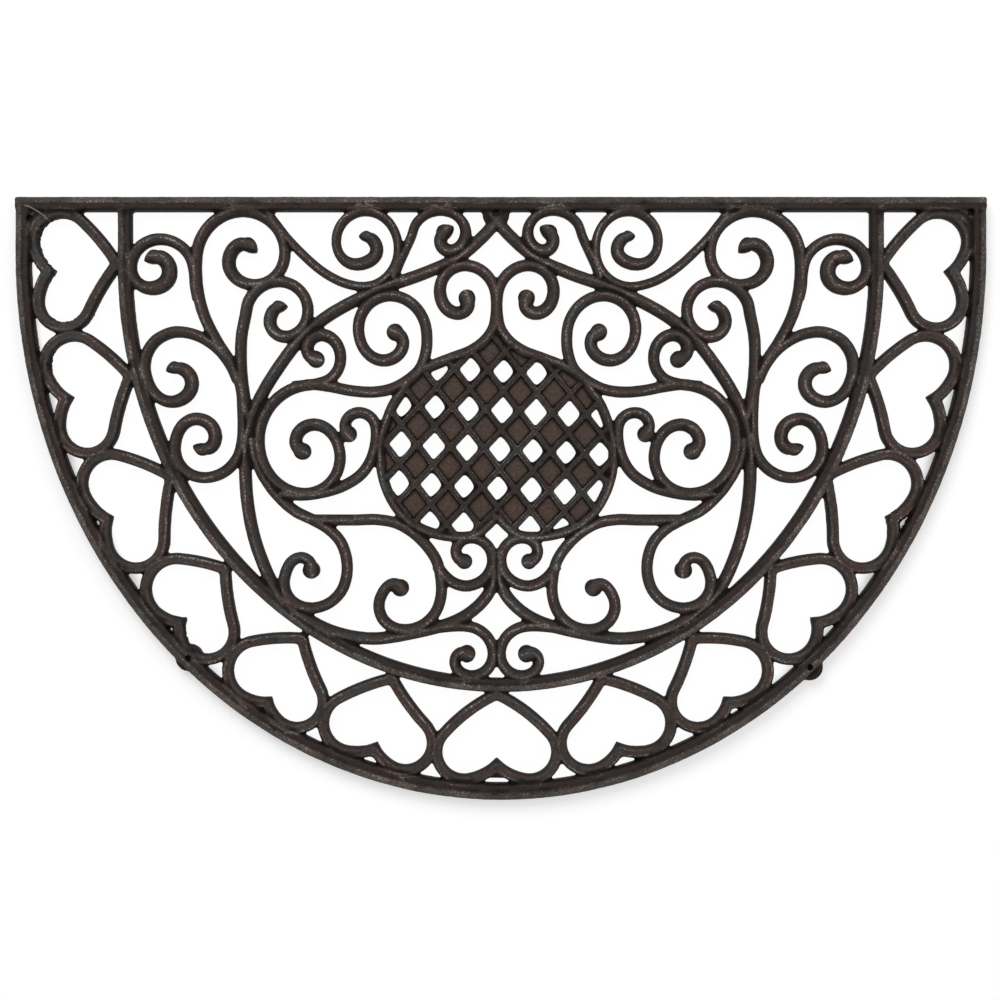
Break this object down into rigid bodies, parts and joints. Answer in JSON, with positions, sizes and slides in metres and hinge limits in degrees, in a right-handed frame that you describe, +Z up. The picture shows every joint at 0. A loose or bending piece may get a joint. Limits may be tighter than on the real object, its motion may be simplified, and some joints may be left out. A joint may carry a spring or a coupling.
{
  "type": "door mat",
  "caption": "Half-round openwork cast iron door mat with a diagonal lattice medallion, scrollwork and a border of hearts, on push-in rubber feet.",
  "frame": {"origin": "middle of the footprint, on the floor under the feet", "axes": "+X along the straight edge, towards the right seen from above with the straight edge at the far side; +Y towards the straight edge, which lies at the door; +Z up"},
  "size_m": [0.74, 0.4595, 0.015],
  "materials": {
    "cast_iron": "antique brown-black paint, satin, with the ridges rubbed to dull grey metal",
    "rubber": "matt black moulded rubber"
  },
  "bodies": {
    "root": {"iron_casting": "cast_iron", "rubber_foot_left_corner": "rubber", "rubber_foot_right_corner": "rubber", "rubber_foot_straight_edge": "rubber", "rubber_foot_front_left": "rubber", "rubber_foot_front_right": "rubber"}
  },
  "joints": []
}
